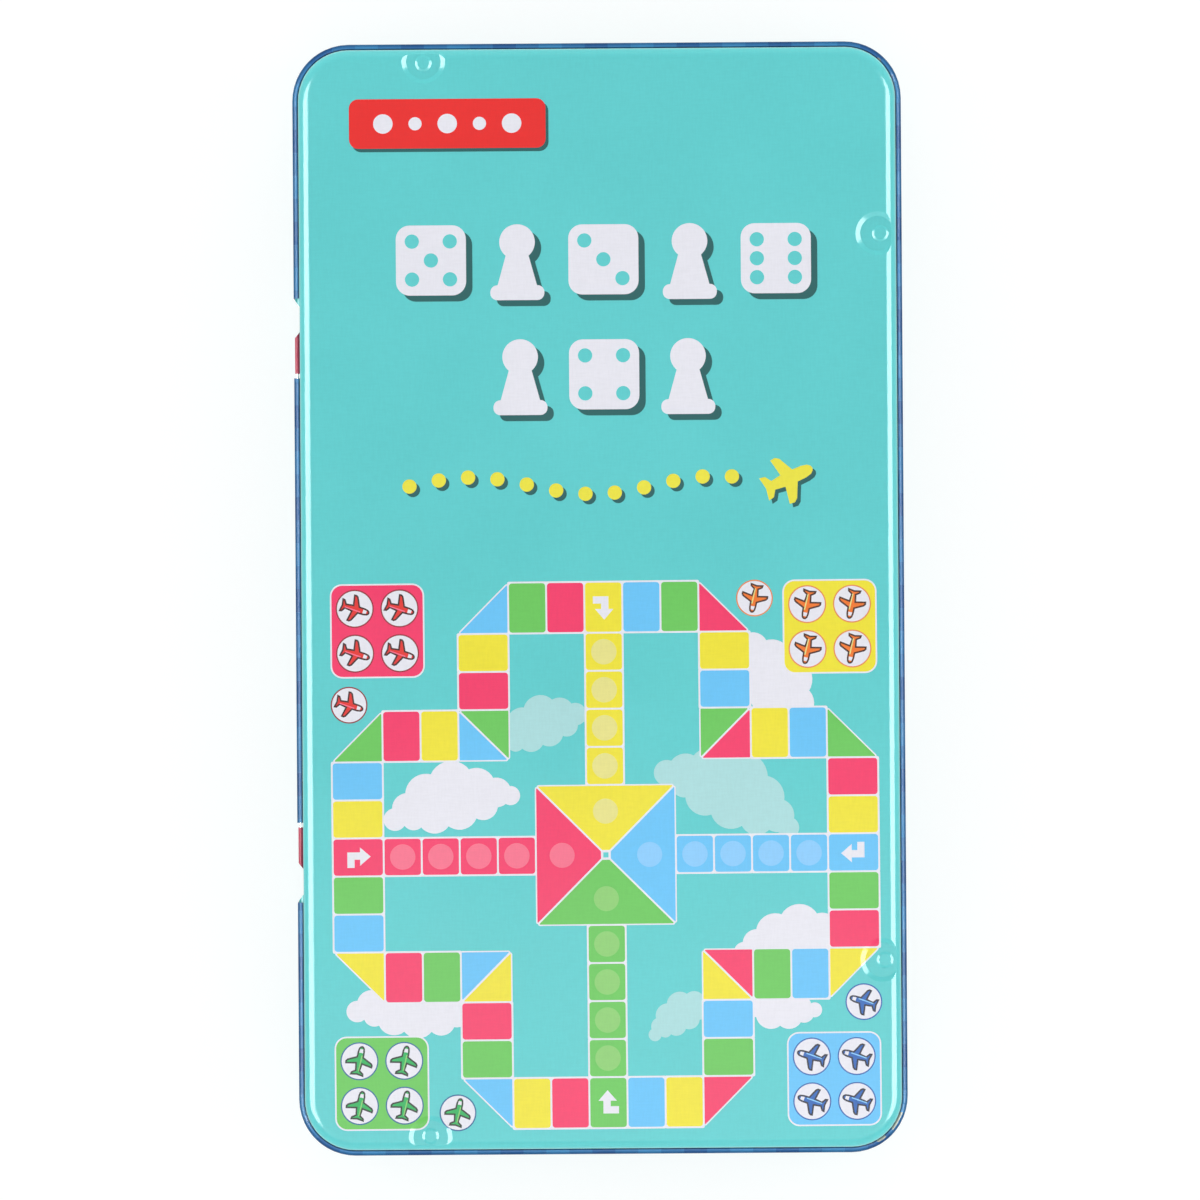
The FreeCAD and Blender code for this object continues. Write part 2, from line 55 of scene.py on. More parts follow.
# Sizes of the solids
LID_LOW, LID_HIGH = box_mm("lid_shell")
BASE_HIGH = box_mm("base_shell")[1]
HINGE = next(joint for joint in frame["joints"] if joint["name"] == "lid_hinge")
HINGE_X, _, HINGE_Z = [value / MM for value in HINGE["pos_m"]]
WALL_X, WALL_Y = BASE_HIGH.x, BASE_HIGH.y
WALL_CORNER_RADIUS = 8.8
SHEET = 0.23
BEAD_RADIUS = HINGE_Z - LID_LOW.z
BEAD_OUT = BEAD_RADIUS - SHEET
LID_TOP = LID_HIGH.z
EDGE_RADIUS = 1.9
DENT_RADII, NUB_RADII = (3.8, 3.4, 3.0), (1.45, 1.03)
SIDE_DENT_Y, END_DENT_X = 63.2, -30.1
# How far the dents and their nubs lie in from the walls
SIDE_INSETS, END_INSETS = (3.25, 2.75), (2.1, 2.35)

# The printed colours, as they look in daylight
INKS = {
    "turquoise": (91, 208, 209),
    "white": (235, 235, 244),
    "red": (247, 46, 103),
    "yellow": (243, 230, 41),
    "green": (104, 201, 87),
    "blue": (102, 198, 250),
    "red_tint": (250, 112, 142),
    "yellow_tint": (235, 229, 139),
    "green_tint": (140, 208, 112),
    "blue_tint": (139, 206, 254),
    "pale_cloud": (172, 223, 224),
    "shadow": (10, 92, 92),
    "bright_yellow": (240, 231, 58),
    "bright_red": (237, 18, 14),
    "plane_red": (232, 40, 34),
    "plane_yellow": (244, 118, 26),
    "plane_green": (18, 178, 88),
    "plane_blue": (18, 98, 184),
    "dark_red": (58, 6, 10),
    "dark_yellow": (66, 26, 4),
    "dark_green": (2, 38, 20),
    "dark_blue": (4, 14, 48),
    "ring_red": (140, 24, 36),
    "ring_yellow": (232, 136, 76),
    "ring_green": (30, 98, 150),
    "ring_blue": (30, 92, 176),
}


def linear(colour):
    """A colour of 0 to 255 as the values that a shader's colour socket takes."""
    shares = [value / 255 for value in colour]
    return [s / 12.92 if s <= 0.04045 else ((s + 0.055) / 1.055) ** 2.4 for s in shares] + [1.0]


# Shader nodes

def connect(tree, value, socket):
    if isinstance(value, bpy.types.NodeSocket):
        tree.links.new(value, socket)
    else:
        socket.default_value = value


def add_node(tree, kind, inputs=(), **settings):
    """A node with its settings made, and its inputs set or linked by name or number."""
    node = tree.nodes.new(f"ShaderNode{kind}")
    for name, value in settings.items():
        setattr(node, name, value)
    for name, value in dict(inputs).items():
        connect(tree, value, node.inputs[name])
    return node


def calculate(tree, operation, *values):
    return add_node(tree, "Math", enumerate(values), operation=operation).outputs[0]


def object_place(tree):
    return add_node(tree, "TexCoord").outputs["Object"]


def noise(tree, place, scale, stretch=(1, 1, 1), detail=2.0):
    """Noise between about 0.25 and 0.75, with its scale per metre."""
    stretched = add_node(tree, "Mapping", {"Vector": place, "Scale": stretch}).outputs[0]
    return add_node(tree, "TexNoise", {"Vector": stretched, "Scale": scale, "Detail": detail}).outputs[0]


def spread(tree, value, low, high, start=0.3, end=0.7):
    """A value between start and end, brought to between low and high."""
    inputs = {"Value": value, "From Min": start, "From Max": end, "To Min": low, "To Max": high}
    return add_node(tree, "MapRange", inputs).outputs[0]


def mix_colours(tree, share, first, second):
    node = add_node(tree, "Mix", data_type="RGBA")
    connect(tree, share, node.inputs[0])
    connect(tree, first, node.inputs[6])
    connect(tree, second, node.inputs[7])
    return node.outputs[2]


def new_material(name):
    material = bpy.data.materials.new(name)
    material.use_nodes = True
    tree = material.node_tree
    return material, tree, tree.nodes["Principled BSDF"]


# Printed tinplate: scales of noise per metre, heights of bumps in metres
THREAD_ALONG, THREAD_ACROSS, THREAD_THROUGH = 500, 3400, 900
CROSSED_THREADS = (0.7, 1.3)
GRAIN_STRENGTH, GRAIN_HEIGHT, GRAIN_SHADE = 0.06, 0.01 * MM, 0.022
MOTTLE_SCALE, MOTTLE_SHADES = 28, (0.985, 1.015)
SMUDGE_SCALE, LACQUER_ROUGHNESS, BARE_ROUGHNESS = 55, (0.12, 0.19), 0.24
WAVE_SCALE, WAVE_STRENGTH, WAVE_HEIGHT = 45, 0.35, 0.4 * MM


def linen(tree, place):
    """The fine crossed grain of the print, about 0 with a spread of 1 either way."""
    across = noise(tree, place, 1, (THREAD_ALONG, THREAD_ACROSS, THREAD_THROUGH), 1.0)
    along = noise(tree, place, 1, (THREAD_ACROSS, THREAD_ALONG, THREAD_THROUGH), 1.0)
    return spread(tree, calculate(tree, "ADD", across, along), -1, 1, *CROSSED_THREADS)


def lacquer(tree, shader, place, grain, bare=None):
    """Clear lacquer over print: small changes of gloss, a fine grain and a slight wave of the sheet.

    Where the sheet is bare, it is duller.
    """
    smudges = noise(tree, place, SMUDGE_SCALE, detail=4.0)
    roughness = spread(tree, smudges, *LACQUER_ROUGHNESS)
    if bare:
        roughness = calculate(tree, "MULTIPLY_ADD", bare, BARE_ROUGHNESS, roughness)
    connect(tree, roughness, shader.inputs["Roughness"])
    wave = noise(tree, place, WAVE_SCALE, detail=1.0)
    waved = add_node(tree, "Bump", {"Height": wave, "Strength": WAVE_STRENGTH, "Distance": WAVE_HEIGHT})
    fine = add_node(tree, "Bump", {"Height": grain, "Strength": GRAIN_STRENGTH, "Distance": GRAIN_HEIGHT,
                                   "Normal": waved.outputs[0]})
    connect(tree, fine.outputs[0], shader.inputs["Normal"])


def brightened(tree, colour, factor):
    return add_node(tree, "HueSaturation", {"Color": colour, "Value": factor}).outputs[0]


def shade(tree, colour, grain, place):
    """A printed colour, a little uneven with the grain and over the sheet."""
    mottle = spread(tree, noise(tree, place, MOTTLE_SCALE, detail=3.0), *MOTTLE_SHADES)
    return brightened(tree, colour, calculate(tree, "MULTIPLY_ADD", grain, GRAIN_SHADE, mottle))


def print_material(name, colour):
    """Printed tinplate of one colour."""
    material, tree, shader = new_material(name)
    place = object_place(tree)
    grain = linen(tree, place)
    connect(tree, shade(tree, linear(colour), grain, place), shader.inputs["Base Color"])
    lacquer(tree, shader, place, grain)
    return material


# The check, in millimetres: two steps along the edge, and a weaker one up the wall
CHECK_REPEAT, RUN_STARTS, RISE_START, RISE_WEIGHT = 16.0, (2.0, 6.0), 6.0, 0.6
# Painted shade over a roll, darker in the crease at the wall and along the outer side, and the roll's
# gloss: two values for each, and how far from the wall it has them
CREASE_PAINTED_SHADE, OUTER_PAINTED_SHADE = (0.03, 1.0, 0.12, 0.4), (1.0, 0.5, 0.5, 0.85)
ROLL_GLOSS = (0.5, 0.12, 0.45, 0.6)
# Worn spots with their radii, the band of the roll that wears, and the metal that shows there
WORN_SPOTS = (((51.1, -91.4, 9.4), 1.6), ((48.4, -94.5, 9.4), 0.9), ((49.3, 93.6, 9.4), 0.4))
WORN_MIDDLE, WORN_HALF_WIDTH = 0.52, 0.24
CHIP_SCALE, CHIP_ACROSS, CHIP_REACH = 1500, 0.3, 1.6
BARE_METAL, BARE_SHINE = (112, 113, 106), 0.8


def check_step(tree, value, start):
    """1 for two blocks of a row of four, and 0 for the other two, along a value in millimetres."""
    repeats = calculate(tree, "DIVIDE", calculate(tree, "ADD", value, start), CHECK_REPEAT)
    return calculate(tree, "LESS_THAN", calculate(tree, "FRACT", repeats), 0.5)


def check_tone(tree, millimetres):
    """The tone of the check at a place, from 0 for its light colour to 1 for its dark one."""
    x, y, z = add_node(tree, "SeparateXYZ", {0: millimetres}).outputs
    beyond_x = calculate(tree, "SUBTRACT", calculate(tree, "ABSOLUTE", x), WALL_X)
    beyond_y = calculate(tree, "SUBTRACT", calculate(tree, "ABSOLUTE", y), WALL_Y)
    on_side = calculate(tree, "GREATER_THAN", beyond_x, beyond_y)
    on_end = calculate(tree, "SUBTRACT", 1.0, on_side)
    run = calculate(tree, "ADD", calculate(tree, "MULTIPLY", on_side, y),
                    calculate(tree, "MULTIPLY", on_end, x))
    steps = calculate(tree, "ADD", *[check_step(tree, run, start) for start in RUN_STARTS])
    rise = calculate(tree, "MULTIPLY", check_step(tree, z, RISE_START), RISE_WEIGHT)
    return calculate(tree, "DIVIDE", calculate(tree, "ADD", steps, rise), len(RUN_STARTS) + RISE_WEIGHT)


def vector(tree, operation, *values):
    return add_node(tree, "VectorMath", enumerate(values), operation=operation).outputs


def wall_gap(tree, millimetres):
    """How far a place lies outside the wall's outer face."""
    core = (WALL_X - WALL_CORNER_RADIUS, WALL_Y - WALL_CORNER_RADIUS, LID_TOP)
    past_core = vector(tree, "SUBTRACT", vector(tree, "ABSOLUTE", millimetres)[0], core)[0]
    reach = vector(tree, "LENGTH", vector(tree, "MAXIMUM", past_core, (0, 0, 0))[0])["Value"]
    return calculate(tree, "SUBTRACT", reach, WALL_CORNER_RADIUS)


def wear(tree, place, millimetres, gap):
    """1 where the print on top of a roll is worn to the metal, and 0 elsewhere."""
    chips = noise(tree, place, CHIP_SCALE, detail=4.0)
    chipped_gap = calculate(tree, "MULTIPLY_ADD", chips, CHIP_ACROSS, gap)
    on_top = calculate(tree, "COMPARE", chipped_gap, WORN_MIDDLE, WORN_HALF_WIDTH)
    bare = 0.0
    for spot, radius in WORN_SPOTS:
        apart = vector(tree, "DISTANCE", millimetres, spot)["Value"]
        chipped = calculate(tree, "MULTIPLY_ADD", chips, CHIP_REACH, apart)
        near = calculate(tree, "LESS_THAN", chipped, radius + CHIP_REACH / 2)
        bare = calculate(tree, "MAXIMUM", calculate(tree, "MULTIPLY", near, on_top), bare)
    return bare


def check_material(name, light, dark, gloss=0.5, painted_shade_and_worn_roll=False):
    """Printed tinplate with a checked pattern.

    On a roll it has painted shade in the crease at the wall and along the outer side, and it is worn bare
    at some spots.
    """
    material, tree, shader = new_material(name)
    place = object_place(tree)
    millimetres = add_node(tree, "VectorMath", {0: place, "Scale": 1 / MM}, operation="SCALE").outputs[0]
    grain = linen(tree, place)
    colour = mix_colours(tree, check_tone(tree, millimetres), linear(light), linear(dark))
    colour = shade(tree, colour, grain, place)
    shader.inputs["Specular IOR Level"].default_value = gloss
    bare = None
    if painted_shade_and_worn_roll:
        gap = wall_gap(tree, millimetres)
        # Painted shade: darker in the crease at the wall and along the roll's outer side
        crease, outer_painted_shade = spread(tree, gap, *CREASE_PAINTED_SHADE), spread(tree, gap, *OUTER_PAINTED_SHADE)
        colour = brightened(tree, colour, calculate(tree, "MULTIPLY", crease, outer_painted_shade))
        bare = wear(tree, place, millimetres, gap)
        colour = mix_colours(tree, bare, colour, linear(BARE_METAL))
        connect(tree, spread(tree, gap, *ROLL_GLOSS), shader.inputs["Specular IOR Level"])
        connect(tree, calculate(tree, "MULTIPLY", bare, BARE_SHINE), shader.inputs["Metallic"])
    connect(tree, colour, shader.inputs["Base Color"])
    lacquer(tree, shader, place, grain, bare)
    return material


# Metal and plastic, with how much smoother and rougher each gets than its own roughness
DRAWING_MARKS, METAL_SHADES = (9000, 700, 9000), (0.88, 1.06)
METAL_SMOOTHER, METAL_ROUGHER = 0.07, 0.1
MOULD_SCALE, MOULD_STRENGTH, MOULD_HEIGHT = 4200, 0.12, 0.02 * MM
BLOOM_SCALE, BLOOM_SHADES = 160, (0.965, 1.03)
PLASTIC_SMOOTHER, PLASTIC_ROUGHER = 0.06, 0.08
SUBSURFACE_WEIGHT, SUBSURFACE_DEPTH = 0.08, 0.6 * MM


def metal_material(name, colour, roughness):
    """Bare metal with fine drawing marks."""
    material, tree, shader = new_material(name)
    marks = noise(tree, object_place(tree), 1, DRAWING_MARKS, 3.0)
    shader.inputs["Metallic"].default_value = 1.0
    tint = brightened(tree, linear(colour), spread(tree, marks, *METAL_SHADES))
    connect(tree, tint, shader.inputs["Base Color"])
    dullness = spread(tree, marks, roughness - METAL_SMOOTHER, roughness + METAL_ROUGHER)
    connect(tree, dullness, shader.inputs["Roughness"])
    return material


def plastic_material(name, colour, roughness=0.3):
    """Moulded plastic with a fine grain and a slight bloom."""
    material, tree, shader = new_material(name)
    place = object_place(tree)
    grain = noise(tree, place, MOULD_SCALE, detail=3.0)
    bloom = noise(tree, place, BLOOM_SCALE, detail=3.0)
    tint = brightened(tree, linear(colour), spread(tree, bloom, *BLOOM_SHADES))
    connect(tree, tint, shader.inputs["Base Color"])
    dullness = spread(tree, bloom, roughness - PLASTIC_SMOOTHER, roughness + PLASTIC_ROUGHER)
    connect(tree, dullness, shader.inputs["Roughness"])
    bump = add_node(tree, "Bump", {"Height": grain, "Strength": MOULD_STRENGTH, "Distance": MOULD_HEIGHT})
    connect(tree, bump.outputs[0], shader.inputs["Normal"])
    shader.inputs["Subsurface Weight"].default_value = SUBSURFACE_WEIGHT
    shader.inputs["Subsurface Scale"].default_value = SUBSURFACE_DEPTH
    return material


PRINTS = {ink: print_material(f"{ink}_print", colour) for ink, colour in INKS.items()}
BLUE_CHECK = check_material("blue_check_print", (98, 182, 232), (44, 98, 178))
# The bead's check has painted shade in its crease and along its outer side, and worn bare spots
BLUE_ROLL = check_material("blue_check_bead", (66, 142, 200), (36, 88, 156), painted_shade_and_worn_roll=True)
RED_CHECK = check_material("red_check_print", (226, 98, 116), (186, 58, 82))
RED_ROLL = check_material("red_check_knuckle", (202, 76, 98), (182, 60, 84), gloss=0.15)
STEEL = metal_material("bare_steel", (196, 196, 192), 0.3)
# Dark steel for the lid's cut edges: partly oxide, and partly painted shade for the crease at the wall and
# the curl's open ends
OXIDE_AND_SHADE_STEEL = metal_material("oxide_and_painted_shade_steel", (74, 78, 84), 0.48)
MAGNET = metal_material("nickel", (128, 128, 132), 0.38)
PIN_STEEL = metal_material("pin_steel", (206, 206, 204), 0.22)
PAWN_PLASTIC = {
    "red": plastic_material("red_plastic", (226, 48, 62)),
    "green": plastic_material("green_plastic", (48, 168, 82)),
    "yellow": plastic_material("yellow_plastic", (250, 204, 40)),
    "blue": plastic_material("blue_plastic", (42, 116, 208)),
}
DIE_PLASTIC = plastic_material("die_plastic", (240, 239, 232), 0.24)
RED_PIP = plastic_material("red_pip_enamel", (206, 34, 40), 0.2)
BLUE_PIP = plastic_material("blue_pip_enamel", (26, 60, 140), 0.2)


# The solids' faces

def paint(node, materials, choose):
    """Gives each face of a solid one of several materials."""
    mesh = frame["nodes"][node].data
    mesh.materials.clear()
    for material in materials:
        mesh.materials.append(material)
    for face in mesh.polygons:
        face.material_index = choose(face.center / MM, face.normal) if choose else 0


def wall_distance(point):
    """How far a point lies outside the wall's outer face, and the direction straight out from the wall."""
    core_x, core_y = WALL_X - WALL_CORNER_RADIUS, WALL_Y - WALL_CORNER_RADIUS
    core = Vector((max(-core_x, min(core_x, point.x)), max(-core_y, min(core_y, point.y)), point.z))
    out = point - core
    if out.length < TINY:
        return -WALL_CORNER_RADIUS, Vector((0, 0, 1))
    return out.length - WALL_CORNER_RADIUS, out.normalized()


OUTSIDE, INSIDE, CUT_EDGE, ROLL = range(4)
# Shares of a face's normal that tell which way the face looks
ENDWISE, EDGEWISE, UPWARD, LEVEL, BACKWARD = 0.3, 0.4, 0.4, 0.9, 0.5
# Lengths in millimetres that tell the parts of a shell apart
WALL_MARGIN, ROLL_MARGIN, HEIGHT_MARGIN = 0.02, 0.05, 0.01
RIM_WIDTH, TURN_HEIGHT, SHOULDER_DEPTH = 1.0, 4, 2


def side_of_roll(distance, out, height, normal):
    """The side of the sheet that a face of a bead or a knuckle is on."""
    along = out.cross(Vector((0, 0, 1)))
    ray = out * (distance - BEAD_OUT) + Vector((0, 0, height - HINGE_Z))
    if abs(normal.dot(along)) > ENDWISE:
        return CUT_EDGE
    if ray.length > BEAD_RADIUS + ROLL_MARGIN:
        return OUTSIDE if normal.dot(out) > 0 else INSIDE
    facing = normal.dot(ray.normalized())
    if abs(facing) < EDGEWISE:
        return CUT_EDGE
    return ROLL if facing > 0 else OUTSIDE


def side_of_lid(point, normal):
    distance, out = wall_distance(point)
    if distance > WALL_MARGIN or point.z < HINGE_Z:
        return side_of_roll(distance, out, point.z, normal)
    if point.z > LID_TOP - EDGE_RADIUS - HEIGHT_MARGIN and distance < -RIM_WIDTH:
        return OUTSIDE if normal.z > UPWARD else INSIDE
    if point.z < LID_TOP - EDGE_RADIUS and abs(normal.dot(out)) < ENDWISE:
        return CUT_EDGE
    rise = normal.z if point.z > LID_TOP - TURN_HEIGHT else 0
    return OUTSIDE if normal.dot(out) + rise > 0 else INSIDE


def side_of_base(point, normal):
    distance, out = wall_distance(point)
    if distance > WALL_MARGIN:
        return side_of_roll(distance, out, point.z, normal)
    if point.z < EDGE_RADIUS + HEIGHT_MARGIN and distance < -RIM_WIDTH:
        return OUTSIDE if normal.z < -UPWARD else INSIDE
    if point.z > BASE_HIGH.z - HEIGHT_MARGIN:
        return CUT_EDGE
    if abs(normal.z) > LEVEL and point.z > HINGE_Z - SHOULDER_DEPTH:
        return OUTSIDE if normal.z > 0 else INSIDE
    rise = normal.z if point.z < TURN_HEIGHT else 0
    return OUTSIDE if normal.dot(out) - rise > 0 else INSIDE


# The lid's cut edges get the dark steel, which is partly painted shade where they sit in the crease and the
# curl
paint("lid_shell", (PRINTS["turquoise"], BLUE_CHECK, OXIDE_AND_SHADE_STEEL, BLUE_ROLL), side_of_lid)
paint("base_shell", (PRINTS["turquoise"], RED_CHECK, STEEL, RED_ROLL), side_of_base)
for pin in ("upper_hinge_pin", "lower_hinge_pin"):
    paint(pin, (PIN_STEEL,), None)

LID_BOARD_FACE = box_mm("lid_board")[0].z
BASE_BOARD_FACE = box_mm("base_board")[1].z
paint("lid_board", (PRINTS["turquoise"], STEEL), lambda point, normal: int(normal.z > BACKWARD))
paint("base_board", (PRINTS["turquoise"], STEEL), lambda point, normal: int(normal.z < -BACKWARD))

COLOURS = ("red", "green", "yellow", "blue")
for colour in COLOURS:
    for index in range(1, 5):
        paint(f"{colour}_pawn_{index}", (PAWN_PLASTIC[colour],), None)
        paint(f"{colour}_magnet_{index}", (MAGNET,), None)

DIE_LOW, DIE_HIGH = box_mm("die")
DIE_MIDDLE = (DIE_LOW + DIE_HIGH) / 2
DIE_HALF = (DIE_HIGH.x - DIE_LOW.x) / 2
PIP_START, PIP_END, DIE_ROUND = 0.02, 0.32, 0.92


def die_material(point, normal):
    """The pips' floors and sides are enamelled: red for one and four, blue for the rest."""
    place = point - DIE_MIDDLE
    axis = max(range(3), key=lambda i: abs(place[i]))
    depth = DIE_HALF - abs(place[axis])
    flat = [place[i] for i in range(3) if i != axis]
    on_round = max(abs(value) for value in flat) > DIE_HALF - DIE_ROUND
    if on_round or not PIP_START <= depth <= PIP_END:
        return 0
    four_or_one = (axis == 2 and place.z > 0) or (axis == 0 and place.x < 0)
    return 1 if four_or_one else 2


paint("die", (DIE_PLASTIC, RED_PIP, BLUE_PIP), die_material)


# Flat shapes, as outlines in millimetres

def circle(x, y, radius, count):
    turns = [2 * math.pi * step / count for step in range(count)]
    return [(x + radius * math.cos(turn), y + radius * math.sin(turn)) for turn in turns]


def rectangle(x, y, width, height):
    half_x, half_y = width / 2, height / 2
    left, right, bottom, top = x - half_x, x + half_x, y - half_y, y + half_y
    return [(left, bottom), (right, bottom), (right, top), (left, top)]


def area(points):
    pairs = zip(points, points[1:] + points[:1])
    return sum(a[0] * b[1] - b[0] * a[1] for a, b in pairs) / 2


def grown(points, distance):
    """An outline with each side moved out by a distance, or in where it is negative."""
    points = points if area(points) > 0 else points[::-1]
    corners = [Vector(point) for point in points]
    sides = []
    for start, end in zip(corners, corners[1:] + corners[:1]):
        way = (end - start).normalized()
        sides.append((start + Vector((way.y, -way.x)) * distance, way))
    result = []
    for (start, way), (other, other_way) in zip(sides[-1:] + sides[:-1], sides):
        turn = way.x * other_way.y - way.y * other_way.x
        if abs(turn) < TINY:
            result.append(tuple(other))
            continue
        gap = other - start
        result.append(tuple(start + way * ((gap.x * other_way.y - gap.y * other_way.x) / turn)))
    return result


# The largest share of a side that a round corner takes
LONGEST_ROUND = 0.49


def rounded(points, radius, steps):
    """An outline with round corners."""
    corners = [Vector(point) for point in points]
    result = []
    for before, corner, after in zip(corners[-1:] + corners[:-1], corners, corners[1:] + corners[:1]):
        back, on = before - corner, after - corner
        longest = LONGEST_ROUND * min(back.length, on.length)
        back.normalize()
        on.normalize()
        half = math.acos(max(-1, min(1, back.dot(on)))) / 2
        reach = min(radius / math.tan(half), longest)
        size = reach * math.tan(half)
        centre = corner + (back + on).normalized() * (size / math.sin(half))
        start, end = corner + back * reach - centre, corner + on * reach - centre
        turn = math.atan2(start.x * end.y - start.y * end.x, start.dot(end))
        first = math.atan2(start.y, start.x)
        for step in range(steps + 1):
            angle = first + turn * step / steps
            result.append((centre.x + size * math.cos(angle), centre.y + size * math.sin(angle)))
    return result


def moved(points, x=0.0, y=0.0, angle=0.0, size=1.0):
    """An outline made larger, turned by an angle in degrees and moved."""
    cosine, sine = math.cos(math.radians(angle)) * size, math.sin(math.radians(angle)) * size
    return [(x + px * cosine - py * sine, y + px * sine + py * cosine) for px, py in points]


def quarter_turned(points, quarters):
    """An outline turned clockwise by quarters."""
    for _ in range(quarters):
        points = [(y, -x) for x, y in points]
    return points


def kept_beyond(points, limit):
    """The part of an outline to the right of an upright line."""
    result = []
    for (ax, ay), (bx, by) in zip(points, points[1:] + points[:1]):
        if ax >= limit:
            result.append((ax, ay))
        if (ax >= limit) != (bx >= limit):
            share = (limit - ax) / (bx - ax)
            result.append((limit, ay + (by - ay) * share))
    return result


# The ludo board, with sizes for a board of this side
BOARD_SIDE = 95.05
BAND = 8.87
CELL = (BOARD_SIDE - 4 * BAND) / 9
LINE = 0.31
CELL_CORNER, POINT_CORNER, CELL_STEPS = 0.5, 0.1, 3
TINT_RADIUS, MIDDLE_TINT_RADIUS, MIDDLE_TINT_PLACE, TINT_SIDES = 0.335 * CELL, 0.33 * CELL, 0.625, 28
DIAMOND, DIAMOND_LINE = 1.7, 0.4
ARROW = ((-1.81, 1.89), (0.89, 1.89), (0.89, -0.32), (1.74, -0.32), (0.14, -2.17), (-1.46, -0.32),
         (-0.39, -0.32), (-0.39, 0.64), (-1.81, 0.64))
TRACK_COLOURS = ("blue", "green", "red", "yellow")
LANE_COLOURS = ("yellow", "blue", "green", "red")
HOMES = (("red", -1, 1, -18), ("yellow", 1, 1, -102), ("green", -1, -1, 78), ("blue", 1, -1, 162))
HOME_OFFSET, HOME_SIZE, HOME_CORNER, HOME_LINE, HOME_STEPS = 39.35, 15.87, 1.85, 0.27, 8
DISC_OFFSET, DISC_RADIUS, DISC_LINE, DISC_SIDES = 3.9, 3.2, 0.22, 40
LOOSE_DISCS = (("red", -44.4, 26.5), ("yellow", 26.3, 44.4),
               ("green", -26.2, -44.6), ("blue", 44.6, -26.0))
# A plane that points right, for a reach of 1 from its middle
HALF_PLANE = ((1.02, 0.0), (0.99, 0.1), (0.88, 0.19), (0.66, 0.24), (0.3, 0.25), (0.02, 0.82),
              (-0.12, 0.92), (-0.32, 0.9), (-0.2, 0.24), (-0.6, 0.18), (-0.76, 0.42), (-0.98, 0.46),
              (-0.9, 0.0))
PLANE = HALF_PLANE + tuple((x, -y) for x, y in HALF_PLANE[-2:0:-1])
PLANE_LINE, PLANE_SHARE = 0.11, 0.8
PLANE_WINDOW = ((0.56, -0.13), (0.8, -0.1), (0.8, 0.1), (0.56, 0.13))
PLANE_SHINE = ((-0.66, -0.1), (0.4, -0.14), (0.4, -0.06), (-0.66, -0.03))


def draw_plane(draw, colour, x, y, angle, size):
    draw(moved(PLANE, x, y, angle, size), f"dark_{colour}")
    draw(moved(grown(list(PLANE), -PLANE_LINE), x, y, angle, size), f"plane_{colour}")
    draw(moved(PLANE_SHINE, x, y, angle, size), f"{colour}_tint")
    draw(moved(PLANE_WINDOW, x, y, angle, size), "white")


def draw_disc(draw, colour, x, y, angle, radius):
    """A white disc with a plane on it."""
    draw(circle(x, y, radius, DISC_SIDES), f"ring_{colour}")
    draw(circle(x, y, radius - DISC_LINE, DISC_SIDES), "white")
    draw_plane(draw, colour, x, y, angle, radius * PLANE_SHARE)


def draw_cell(draw, points, colour):
    """A cell with a white line round it. A triangular one has sharp points and a thinner line."""
    triangular = len(points) == 3
    line, corner = (LINE / 4, POINT_CORNER) if triangular else (LINE / 2, CELL_CORNER)
    draw(rounded(grown(points, line), LINE, CELL_STEPS), "white")
    draw(rounded(grown(points, -LINE / 2), corner, CELL_STEPS), colour)


def track_cells():
    """The thirteen cells of one quarter of the track, clockwise from the left corner of the top arm."""
    half = BOARD_SIDE / 2
    arm = BAND + 2.5 * CELL
    inner = arm - BAND
    end = half - BAND
    yield [(-arm, end), (-inner, end), (-inner, half)]
    for step in range(-2, 3):
        yield rectangle(step * CELL, half - BAND / 2, CELL, BAND)
    yield [(inner, half), (inner, end), (arm, end)]
    for step in (0.5, 1.5):
        yield rectangle(arm - BAND / 2, end - step * CELL, BAND, CELL)
    yield [(inner, inner), (arm, arm), (inner, arm)]
    yield [(inner, inner), (arm, inner), (arm, arm)]
    for step in (0.5, 1.5):
        yield rectangle(arm + step * CELL, arm - BAND / 2, CELL, BAND)


def draw_track(draw, arrow_quarters=range(4)):
    """The track, the lanes and the middle of a ludo board, drawn about its centre."""
    end = BOARD_SIDE / 2 - BAND
    middle = end - 4 * CELL
    count = 0
    for quarter in range(4):
        for points in track_cells():
            draw_cell(draw, quarter_turned(points, quarter), TRACK_COLOURS[count % 4])
            count += 1
    for quarter, colour in enumerate(LANE_COLOURS):
        for step in range(4):
            centre_y = end - (step + 0.5) * CELL
            draw_cell(draw, quarter_turned(rectangle(0, centre_y, CELL, CELL), quarter), colour)
            draw(quarter_turned(circle(0, centre_y, TINT_RADIUS, TINT_SIDES), quarter), f"{colour}_tint")
        draw_cell(draw, quarter_turned([(0, 0), (middle, middle), (-middle, middle)], quarter), colour)
        tint = circle(0, MIDDLE_TINT_PLACE * middle, MIDDLE_TINT_RADIUS, TINT_SIDES)
        draw(quarter_turned(tint, quarter), f"{colour}_tint")
        if quarter in arrow_quarters:
            draw(quarter_turned(moved(ARROW, 0, end + BAND / 2), quarter), "white")
    diamond = rectangle(0, 0, DIAMOND, DIAMOND)
    draw(diamond, "white")
    draw(grown(diamond, -DIAMOND_LINE), "turquoise")


def draw_homes(draw):
    """The four homes, each with four discs."""
    for colour, side_x, side_y, angle in HOMES:
        x, y = side_x * HOME_OFFSET, side_y * HOME_OFFSET
        home = rectangle(x, y, HOME_SIZE, HOME_SIZE)
        draw(rounded(grown(home, HOME_LINE), HOME_CORNER + HOME_LINE, HOME_STEPS), "white")
        draw(rounded(home, HOME_CORNER, HOME_STEPS), colour)
        for step_x in (-DISC_OFFSET, DISC_OFFSET):
            for step_y in (-DISC_OFFSET, DISC_OFFSET):
                draw_disc(draw, colour, x + step_x, y + step_y, angle, DISC_RADIUS + DISC_LINE / 2)


